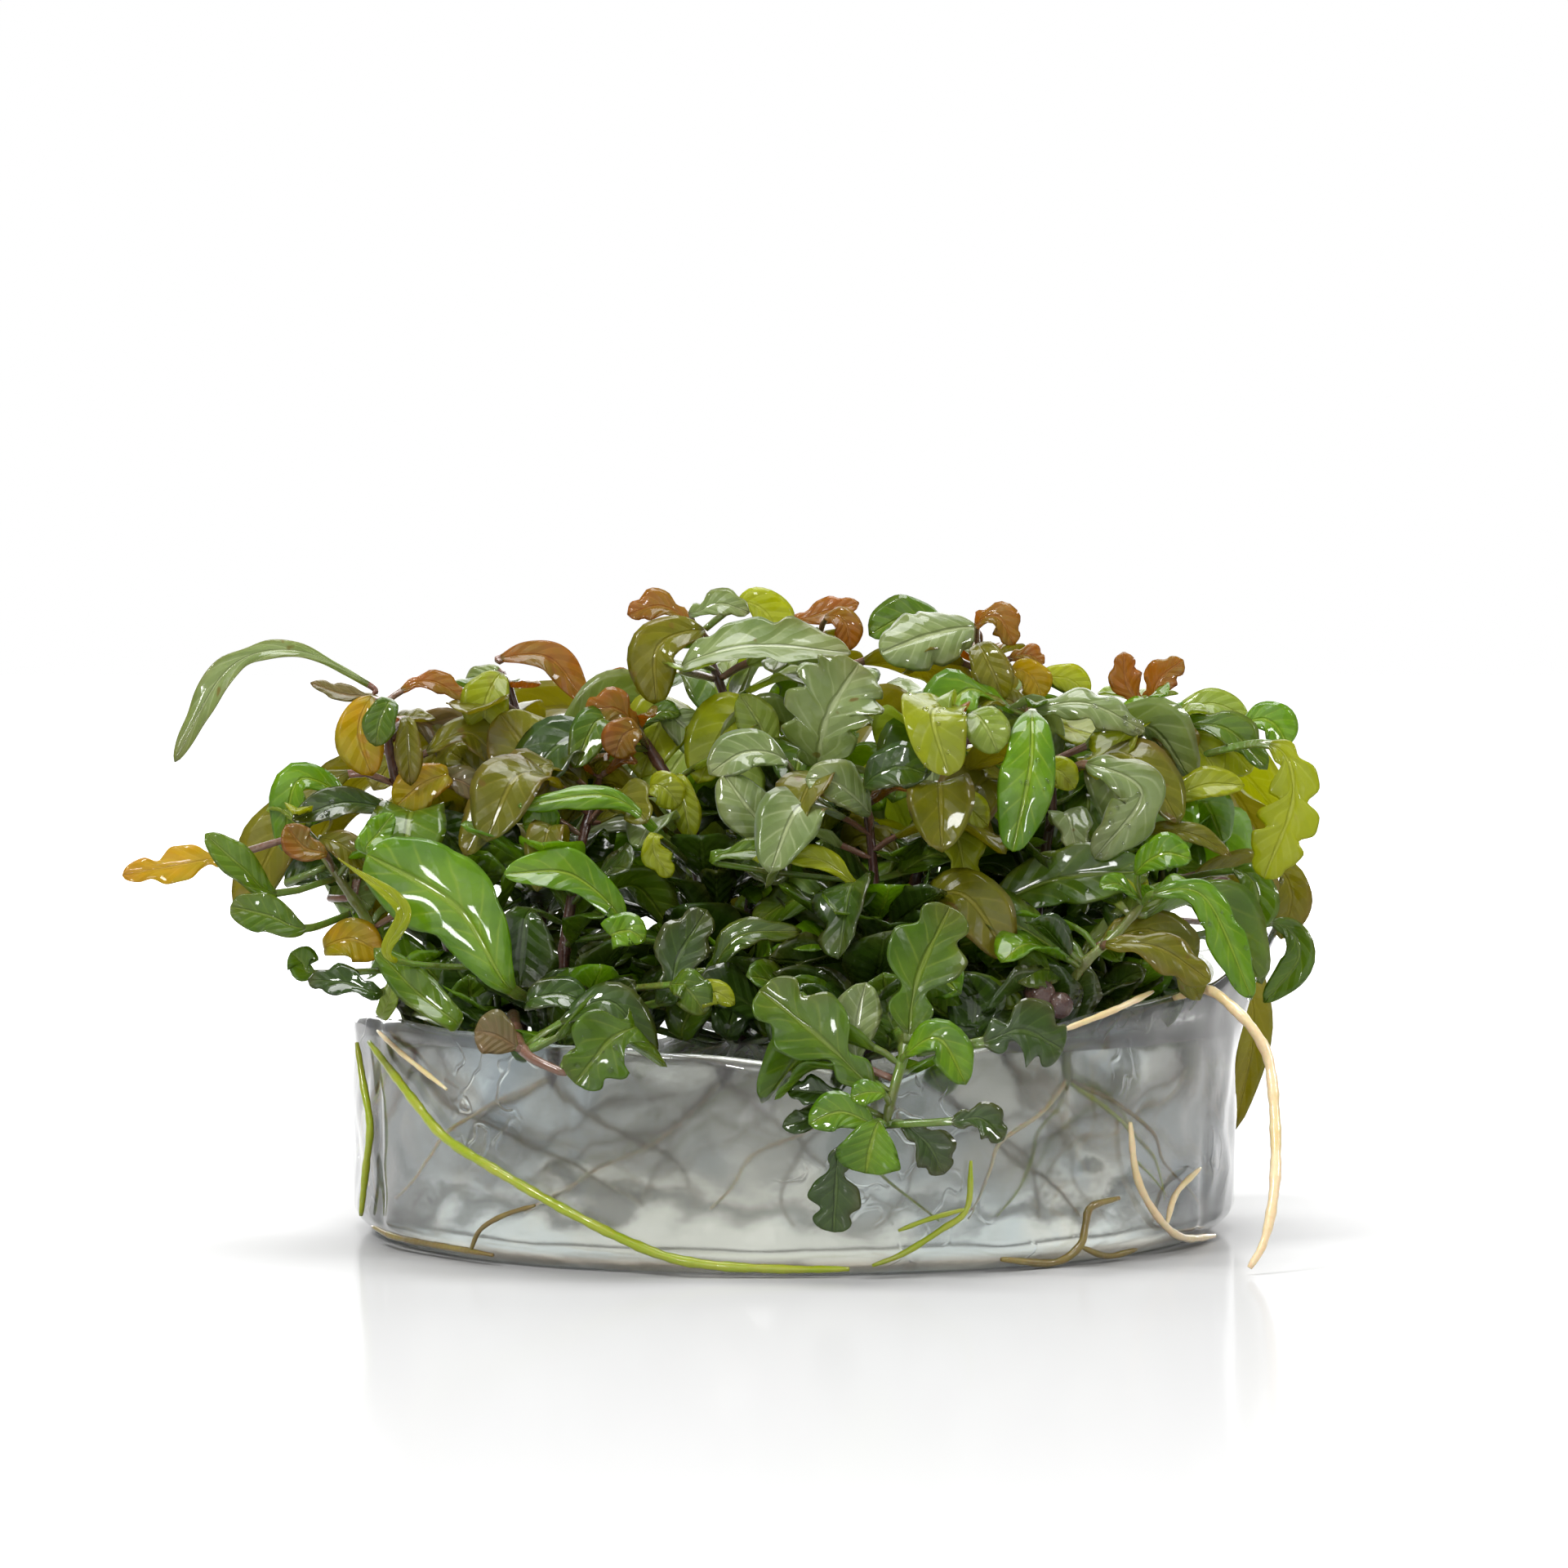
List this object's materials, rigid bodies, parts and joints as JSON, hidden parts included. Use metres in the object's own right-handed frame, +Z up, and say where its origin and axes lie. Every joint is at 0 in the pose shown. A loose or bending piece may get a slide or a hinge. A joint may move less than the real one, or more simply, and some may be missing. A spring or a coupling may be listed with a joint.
{
  "type": "hygrophila tissue culture portion",
  "caption": "Clump of lobed green and bronze leaves on thin stems, rooted in a round slab of clear jelly that rests on its flat underside.",
  "frame": {"origin": "middle of the gel slab's flat underside", "axes": "+Z up, -Y towards the front with the hanging sprig, +X along the widest spread of the leaves"},
  "size_m": [0.0932, 0.0823, 0.051],
  "materials": {
    "gel": "wet clear jelly, slightly milky",
    "root": "wet smooth root",
    "callus": "dull lumpy tissue",
    "green_leaf": "wet waxy leaf",
    "silver_leaf": "wet waxy leaf with a silvery sheen",
    "bronze_leaf": "wet waxy leaf, browning",
    "olive_leaf": "wet waxy leaf, backlit",
    "leafy_shoot": "red-brown or green stem with small wet leaves"
  },
  "bodies": {
    "root": {"callus": "callus", "gel_slab": "gel", "leaf_big_green": "green_leaf", "leaf_bright_drooping": "green_leaf", "leaf_brown_arch": "bronze_leaf", "leaf_centre_silver": "silver_leaf", "leaf_dark_glossy": "green_leaf", "leaf_dark_wide": "green_leaf", "leaf_far_left": "bronze_leaf", "leaf_front_lobed": "green_leaf", "leaf_glossy_left": "green_leaf", "leaf_grey_right": "silver_leaf", "leaf_left_arch": "silver_leaf", "leaf_long_hanging": "green_leaf", "leaf_mid_arch": "green_leaf", "leaf_olive_left": "olive_leaf", "leaf_olive_low": "olive_leaf", "leaf_pale_hanging": "olive_leaf", "leaf_right_lobed": "olive_leaf", "leaf_right_silver": "silver_leaf", "leaf_round_left": "green_leaf", "leaf_silver_arch": "silver_leaf", "leaf_silver_fold": "silver_leaf", "leaf_three_lobed": "green_leaf", "leaf_top_silver": "silver_leaf", "leaf_yellow_curl": "olive_leaf", "rear_shoot_left": "leafy_shoot", "rear_shoot_left_middle": "leafy_shoot", "rear_shoot_middle": "leafy_shoot", "rear_shoot_right": "leafy_shoot", "rear_shoot_right_middle": "leafy_shoot", "rear_shoot_rim": "leafy_shoot", "root_diagonal": "root", "root_front_branch": "root", "root_inner_cream": "root", "root_left_rim": "root", "root_left_straw": "root", "root_left_upright": "root", "root_lower_right": "root", "root_rim": "root", "root_trailing": "root", "runner": "leafy_shoot", "shoot_brown_fork": "leafy_shoot", "shoot_far_left": "leafy_shoot", "shoot_far_right": "leafy_shoot", "shoot_front_middle": "leafy_shoot", "shoot_left": "leafy_shoot", "shoot_left_front": "leafy_shoot", "shoot_left_middle": "leafy_shoot", "shoot_low_right": "leafy_shoot", "shoot_middle": "leafy_shoot", "shoot_pale": "leafy_shoot", "shoot_right": "leafy_shoot", "shoot_right_middle": "leafy_shoot", "shoot_thick": "leafy_shoot", "shoot_top": "leafy_shoot", "sprig_leaf_hanging": "green_leaf", "sprig_leaf_left": "green_leaf", "sprig_leaf_tall": "green_leaf", "sprig_stem": "leafy_shoot"}
  },
  "joints": []
}
